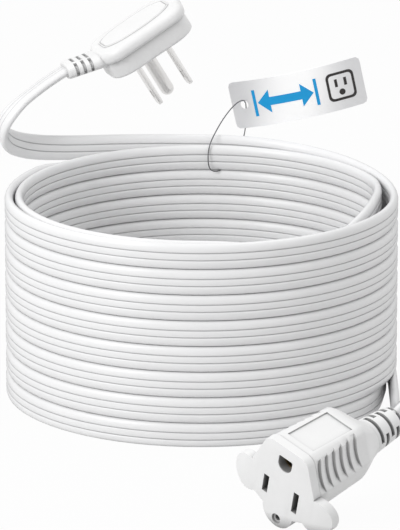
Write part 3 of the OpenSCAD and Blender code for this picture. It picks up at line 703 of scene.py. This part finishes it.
boot_place = boot_place @ Matrix.Rotation(math.pi / 2, 4, "Z")
plug_boot = piece("plug_boot", boot, PLUG @ boot_place, moulded, sharp=40)
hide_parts("plug_strain_relief")

# %% [markdown]
# ## Connector: body
# The body is a loft from the face's outline to a round end. Each grip groove slopes down
# from the front and ends at a steep wall, so one ring of every three is sunk on the
# sloped sides. The rings bow a little there, so the grooves curve as moulded grips do.

# %% Body
GRIP_L, TAPER_L, FACE_T = 25.0, 12.0, 3.2


def body_outline(k, count=96):
    """The body's section, k times its full size."""
    discs = [(s * 6.6, 17.5, 0.9) for s in (-1, 1)] + [(s * 8.3, 16.6, 0.9) for s in (-1, 1)]
    discs += [(s * 12.2, 5.9, 1.2) for s in (-1, 1)] + [(0, 3.4, 12.9)]
    return band([(k * x, k * y, k * r) for x, y, r in discs], count)


def grip_k(back):
    return 0.98 - 0.08 * max(0, back - 1) / (GRIP_L - 1)


def bow(y):
    """How far a ring leans back at height y on the sloped side."""
    u = min(1, max(0, (y - 4) / 12))
    return 1.6 * (1 - (2 * u - 1) ** 2) * 0.8 + 1.1 * u


GROOVES = [3.6 + 3.6 * i for i in range(6)]
rings = [(-FACE_T, body_outline(0.965)), (-FACE_T - 0.5, body_outline(0.98))]
for back in GROOVES:
    for edge in (back - 1.5, back + 0.55, back + 0.8):
        rings.append((-FACE_T - edge, body_outline(grip_k(edge))))
rings.append((-FACE_T - GRIP_L, body_outline(0.9)))
start, round_end = body_outline(0.9), band([(0, 1, 6.5)], 96)
for k in range(1, 9):
    u = k / 8
    ease = u * u * (3 - 2 * u) * 0.35 + u * 0.65
    mixed = [a.lerp(b, ease) for a, b in zip(start, round_end)]
    rings.append((-FACE_T - GRIP_L - TAPER_L * u, mixed))
body = loft(rings)
sunk = 0
for v in body.verts:
    back = -FACE_T - v.co.z
    if abs(v.co.x) > 6.9 and any(abs(back - groove - 0.55) < 0.01 for groove in GROOVES):
        part = passed(v.co.y, 5, 7.5) - passed(v.co.y, 15.2, 17.2)
        v.co.x -= math.copysign(1.05 * part, v.co.x)
        sunk += part > 0
    if 2 < back < GRIP_L - 1 and abs(v.co.x) > 6.5:
        v.co.z += bow(v.co.y)
print("points sunk for the grip grooves:", sunk)

# %% [markdown]
# The bare label recess in the top and the three shafts behind the face are plain boxes
# taken out of the body. A Boolean does that cleanly where an inset would need the faces
# to lie just so.

# %% Taking shapes out


def solid(bm, name):
    mesh = bpy.data.meshes.new(name)
    bm.to_mesh(mesh)
    bm.free()
    obj = bpy.data.objects.new(name, mesh)
    bpy.context.scene.collection.objects.link(obj)
    return obj


def combine(bm, others, operation="DIFFERENCE"):
    """Takes the other shapes out of bm, or adds them to it."""
    base = solid(bm, "base")
    tools = [solid(other, "tool") for other in others]
    for tool in tools:
        step = base.modifiers.new("step", "BOOLEAN")
        step.operation, step.solver, step.object = operation, "EXACT", tool
    shown = base.evaluated_get(bpy.context.evaluated_depsgraph_get())
    mesh = bpy.data.meshes.new_from_object(shown)
    out = bmesh.new()
    out.from_mesh(mesh)
    for obj in [base] + tools:
        bpy.data.objects.remove(obj)
    return out


def box(low, high):
    """A box between two corners."""
    size = Vector(high) - Vector(low)
    place = Matrix.Translation((Vector(low) + Vector(high)) / 2) @ Matrix.Diagonal((*size, 1))
    bm = bmesh.new()
    bmesh.ops.create_cube(bm, size=1, matrix=place)
    return bm


def shafts(low, high):
    """The shafts of the two slots and of the ground hole, between two depths."""
    hole = [(2.85 * math.cos(t), 11.9 + 2.85 * math.sin(t))
            for t in (math.radians(180 + 9 * k) for k in range(21))]
    hole += [(2.85, 14.0), (2.5, 14.35), (-2.5, 14.35), (-2.85, 14.0)]
    return [box((-7.45, -3.35, low), (-5.25, 3.35, high)),
            box((5.25, -4, low), (7.45, 4, high)), slab(hole, low, high)]


def mark_shafts(bm, below):
    """Marks the points down the shafts, so the finish can paint shade there."""
    sunk = bm.verts.layers.float.new("sunk")
    for v in bm.verts:
        x, y = abs(v.co.x), v.co.y
        if not -17 < v.co.z < below:
            continue
        if 5.2 < x < 7.5 and abs(y) < 4.1:
            v[sunk] = 0.5
        elif x < 2.9 and 9 < y < 14.4 or x < 1.1 and -11.8 < y < -9.6 and v.co.z < -1.5:
            v[sunk] = 0.85


label = box((-5.5, -0.45, -21.0), (5.5, 0.45, -2.0))
fall = math.atan(0.08 * 18.4 / (GRIP_L - 1))
bmesh.ops.transform(label, verts=label.verts, matrix=Matrix.Translation(
    (0, 0.98 * 18.4, -FACE_T - 1)) @ Matrix.Rotation(-fall, 4, "X"))
body = combine(body, [label] + shafts(-16, -3))
mark_shafts(body, -3)
connector_body = piece("connector_body_soft", body, CONNECTOR, deep_shade_finish)
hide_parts("connector_body")

# %% [markdown]
# ## Connector: face with its wings
# The face plate is a sloped crown, two round wings for the fingers and a lobe below. The
# wings lean back a little at their tips. The plate is drawn flat, joined, cut, bevelled
# all round, and only then bent.

# %% Face plate
crown = band([(-6.4, 17.4, 1.0), (6.4, 17.4, 1.0), (-8.2, 16.6, 0.8), (8.2, 16.6, 0.8),
              (-12.2, 6.0, 1.0), (12.2, 6.0, 1.0), (-11.8, -4.0, 0.9), (11.8, -4.0, 0.9),
              (-5.3, -7.3, 0.7), (5.3, -7.3, 0.7)], 72)
plate = slab(crown, -FACE_T, 0)
rounds = [slab(band([(x, y, 6.3)], 48), -FACE_T, 0)
          for x, y in ((-14.4, -0.8), (14.4, -0.8), (0, -7.3))]
plate = combine(plate, rounds, "UNION")
bmesh.ops.dissolve_limit(plate, angle_limit=0.01, verts=plate.verts, edges=plate.edges)
round_rim(plate, 0, 0.5, 3)
dish = slab(band([(0, -10.7, 1.8)], 32), -0.8, 1)
bore = slab(band([(0, -10.7, 1.0)], 32), -2.2, 1)
plate = combine(plate, shafts(-4, 1) + [dish, bore])
for x in [s * d for s in (-1, 1) for d in (9.5, 11, 12.5, 14, 15.5, 17, 18.5)]:
    bmesh.ops.bisect_plane(plate, geom=plate.verts[:] + plate.edges[:] + plate.faces[:],
                           plane_co=(x, 0, 0), plane_no=(1, 0, 0))
for v in plate.verts:
    out = max(0, abs(v.co.x) - 9.5)
    v.co.z -= 0.016 * out * out
bmesh.ops.bisect_plane(plate, geom=plate.verts[:] + plate.edges[:] + plate.faces[:],
                       plane_co=(0, 0, -0.6), plane_no=(0, 0, 1))
mark_shafts(plate, -0.5)
connector_face = piece("connector_face_soft", plate, CONNECTOR, deep_shade_finish,
                       sharp=28)
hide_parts("connector_face")

# %% [markdown]
# ## Connector: strain relief
# It is round, and its slots are staggered: every other row starts a quarter turn on, so
# the boot bends equally in all directions.

# %% The connector's boot
ROWS = [2.4 + 2.7 * i for i in range(5)]
rings = [(z, band([(0, 0, 6.3 - 1.1 * max(0, z) / 14 - (0.4 if z > 13.8 else 0))], 48))
         for z in [-0.5] + slot_rings(13.4, 2.4, 2.7, 1.55, 5)[1:-1] + [13.9, 14.0]]
relief = loft(rings)


def staggered(c):
    turn = math.degrees(math.atan2(c.y, c.x)) % 180
    for i, z in enumerate(ROWS):
        if abs(c.z - z) < 0.5:
            return abs((turn - (25 if i % 2 else 115) + 90) % 180 - 90) < 56
    return False


print("relief slot faces:", sink(relief, staggered, 1.1))
relief_place = Matrix.Translation((0, 1, -FACE_T - GRIP_L - TAPER_L)) @ Matrix.Rotation(
    math.pi, 4, "X")
connector_boot = piece("connector_boot", relief, CONNECTOR @ relief_place, deep_shade_finish,
                       sharp=40)
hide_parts("connector_strain_relief")

# %% [markdown]
# ## Hang tag
# The card is a rounded rectangle with a punched hole, bowed as stiff card is. It is
# drawn flat, cut into narrow strips, bent round an upright axis, and given its thickness.

# %% Bending flat shapes round the tag's bow
BOW_R, TAG_MID = 60.0, 19.4


def bend(bm, proud=0.0):
    """Wraps flat x and z onto the bow, standing proud of its front by some millimetres."""
    depth = BOW_R * math.cos(TAG_MID / BOW_R)
    for v in bm.verts:
        turn = (v.co.x - TAG_MID) / BOW_R
        r = BOW_R + proud - v.co.y
        v.co = (TAG_MID + r * math.sin(turn), depth - r * math.cos(turn), v.co.z)


def strips(bm, low, high, step=1.5):
    x = low
    while x < high:
        bmesh.ops.bisect_plane(bm, geom=bm.verts[:] + bm.edges[:] + bm.faces[:],
                               plane_co=(x, 0, 0), plane_no=(1, 0, 0))
        x += step


def flat(loops, thick):
    """Fills closed (x, z) loops, holes included, and gives them a thickness in y."""
    bm = bmesh.new()
    for loop in loops:
        verts = [bm.verts.new((x, 0, z)) for x, z in loop]
        for i in range(len(verts)):
            bm.edges.new((verts[i - 1], verts[i]))
    bmesh.ops.triangle_fill(bm, edges=bm.edges[:], use_beauty=True)
    strips(bm, -5, 45)
    made = bmesh.ops.extrude_face_region(bm, geom=bm.faces[:])["geom"]
    new = [g for g in made if isinstance(g, bmesh.types.BMVert)]
    bmesh.ops.translate(bm, vec=(0, -thick, 0), verts=new)
    return bm


# %% Card
card_rim = band([(x, z, 1.6) for x in (-3.0, 41.8) for z in (-6.9, 6.9)], 96)
hole = band([(0, 0, 1.5)], 32)
tag_sheet = flat([card_rim, hole], 0.4)
bend(tag_sheet)
tag = piece("tag_card_bowed", tag_sheet, TAG, card, body="hang_tag")
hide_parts("tag")

# %% Print on the card
arrow = [(5.0, 0), (9.4, 4.2), (9.4, 1.5), (20.6, 1.5), (20.6, 4.2), (25.0, 0),
         (20.6, -4.2), (20.6, -1.5), (9.4, -1.5), (9.4, -4.2)]
bars = [[(x - 0.55, -4.8), (x + 0.55, -4.8), (x + 0.55, 4.8), (x - 0.55, 4.8)]
        for x in (4.0, 26.0)]
for name, loops in (("print_length_arrow", [arrow]), ("print_left_bar", bars[:1]),
                    ("print_right_bar", bars[1:])):
    mark = flat(loops, 0.05)
    bend(mark, 0.4)
    piece(name, mark, TAG, blue_ink, body="hang_tag")
frame_out = band([(x, z, 1.8) for x in (31.7, 38.3) for z in (-3.3, 3.3)], 48)
frame_in = band([(x, z, 1.2) for x in (32.0, 38.0) for z in (-3.0, 3.0)], 48)
slots = [[(x - 0.5, z), (x + 0.5, z), (x + 0.5, z + 2.8), (x - 0.5, z + 2.8)]
         for x, z in ((33.3, -0.1), (36.7, -0.1))]
for name, loops in (("print_outlet_frame", [frame_out, frame_in]),
                    ("print_outlet_left", slots[:1]), ("print_outlet_right", slots[1:]),
                    ("print_outlet_ground", [band([(35.0, -2.2, 1.1)], 24)])):
    mark = flat(loops, 0.05)
    bend(mark, 0.4)
    piece(name, mark, TAG, dark_ink, body="hang_tag")

# %% [markdown]
# ## The tag's wire
# A single closed loop of thin wire goes down inside the coil, out between its two top
# levels, and up behind the card to its hole. A smooth closed line through the CAD
# wire's own points, swept with a small circle, stays in the same gaps.

# %% Wire
WIRE_Z = -3 - LEVEL_PITCH / 2
wire_points = [
    (15.3, 6.7, 14.25), (15, 5.4, 15.15), (13.4, 3.8, 15.35), (11, 2.3, 13.75),
    (8.2, 0.8, 10.55), (5.6, -1.3, 6.75), (3.3, -4.5, 2.75), (2.4, -5.8, -1.05),
    (2.5, -6.2, -4.85), (3.4, -6.2, -6.85), (5, -5.9, WIRE_Z), (6.4, -4.5, WIRE_Z),
    (9, 0.5, WIRE_Z), (10, 1.9, WIRE_Z), (11.6, 3.3, -5.85), (13.2, 5.3, -2.45),
    (14.7, 7.9, 0.75), (15.5, 9.6, 4.35), (15.8, 10.1, 8.55), (15.7, 9.8, 11.95),
    (15.5, 8.6, 13.75),
]
wire_rows = [(plug_from + Vector(p), Vector((0.9, 0.1, 0.3))) for p in wire_points]
wire_line = smooth_rows(wire_rows[-2:] + wire_rows + wire_rows[:3], 5)[10:-10]
wire_disc = [(0.2 * math.cos(math.pi * k / 5), 0.2 * math.sin(math.pi * k / 5))
             for k in range(10)]
wire = piece("tag_wire_loop", sweep(wire_disc, stations(wire_line)), COIL, steel,
             sharp=60)
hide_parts("tag_wire")

# %% [markdown]
# ## Finishes for the hidden parts
# The contacts and the cores keep their CAD shapes. They show only deep in the slots.

# %% CAD nodes that stay
for names, material in (
        (("hot_contact", "neutral_contact", "ground_contact"), brass),
        (("plug_hot_core", "connector_hot_core"), black_core),
        (("plug_neutral_core", "connector_neutral_core"), white_core),
        (("plug_ground_core", "connector_ground_core"), green_core)):
    for name in names:
        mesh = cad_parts[name].data
        mesh.materials.clear()
        mesh.materials.append(material)

# %% [markdown]
# ## The cord from end to end
# The cord runs from the connector's boot to the plug's boot. Its path is the route's own
# points, and its plug and connector go with it.

# %% [markdown]
# ## Floor, background and light
# The floor and the background are plain white to the camera, so only a soft shadow
# separates them. A large lamp from the front left models the turns, a weaker one
# fills from the right, and the world adds an even light.

# %% Floor
floor_mesh = bpy.data.meshes.new("floor")
floor_shape = bmesh.new()
bmesh.ops.create_grid(floor_shape, x_segments=1, y_segments=1, size=3)
floor_shape.to_mesh(floor_mesh)
floor_shape.free()
floor = bpy.data.objects.new("floor", floor_mesh)
bpy.context.scene.collection.objects.link(floor)
pale = bpy.data.materials.new("floor_pale")
pale.use_nodes = True
tree = pale.node_tree
matte = node(tree, "ShaderNodeBsdfDiffuse", [("Color", (0.6, 0.6, 0.6, 1))])
glow = node(tree, "ShaderNodeEmission", [("Color", (1, 1, 1, 1)), ("Strength", 1.0)])
rays = node(tree, "ShaderNodeLightPath")
seen = maths(tree, "MULTIPLY", maths(tree, "MAXIMUM", rays.outputs["Is Camera Ray"],
                                     rays.outputs["Is Glossy Ray"]), 0.96)
mixed = node(tree, "ShaderNodeMixShader", [(0, seen), (1, matte.outputs[0]),
                                           (2, glow.outputs[0])])
tree.links.new(mixed.outputs[0], tree.nodes["Material Output"].inputs["Surface"])
floor_mesh.materials.append(pale)

# %% World and lamps
world = bpy.data.worlds.new("world")
bpy.context.scene.world = world
world.use_nodes = True
tree = world.node_tree
rays = node(tree, "ShaderNodeLightPath")
direct = maths(tree, "MAXIMUM", rays.outputs["Is Camera Ray"],
               maths(tree, "MAXIMUM", rays.outputs["Is Glossy Ray"],
                     rays.outputs["Is Transmission Ray"]))
level = node(tree, "ShaderNodeMapRange", [("Value", direct), ("To Min", 0.69),
                                          ("To Max", 1.0)])
tree.links.new(level.outputs[0], tree.nodes["Background"].inputs["Strength"])
tree.nodes["Background"].inputs["Color"].default_value = (1, 1, 1, 1)


def lamp(name, at, size, power):
    """A soft square lamp that looks at the coil."""
    data = bpy.data.lights.new(name, "AREA")
    data.size, data.energy = size, power
    obj = bpy.data.objects.new(name, data)
    bpy.context.scene.collection.objects.link(obj)
    obj.location = at
    obj.rotation_euler = (look_at - Vector(at)).to_track_quat("-Z", "Y").to_euler()


lamp("key", (-1.15, -0.85, 0.95), 0.7, 13.5)
lamp("fill", (0.9, -0.9, 0.5), 0.8, 0.35)
lamp("top", (0.35, 0.2, 1.25), 0.6, 2.6)
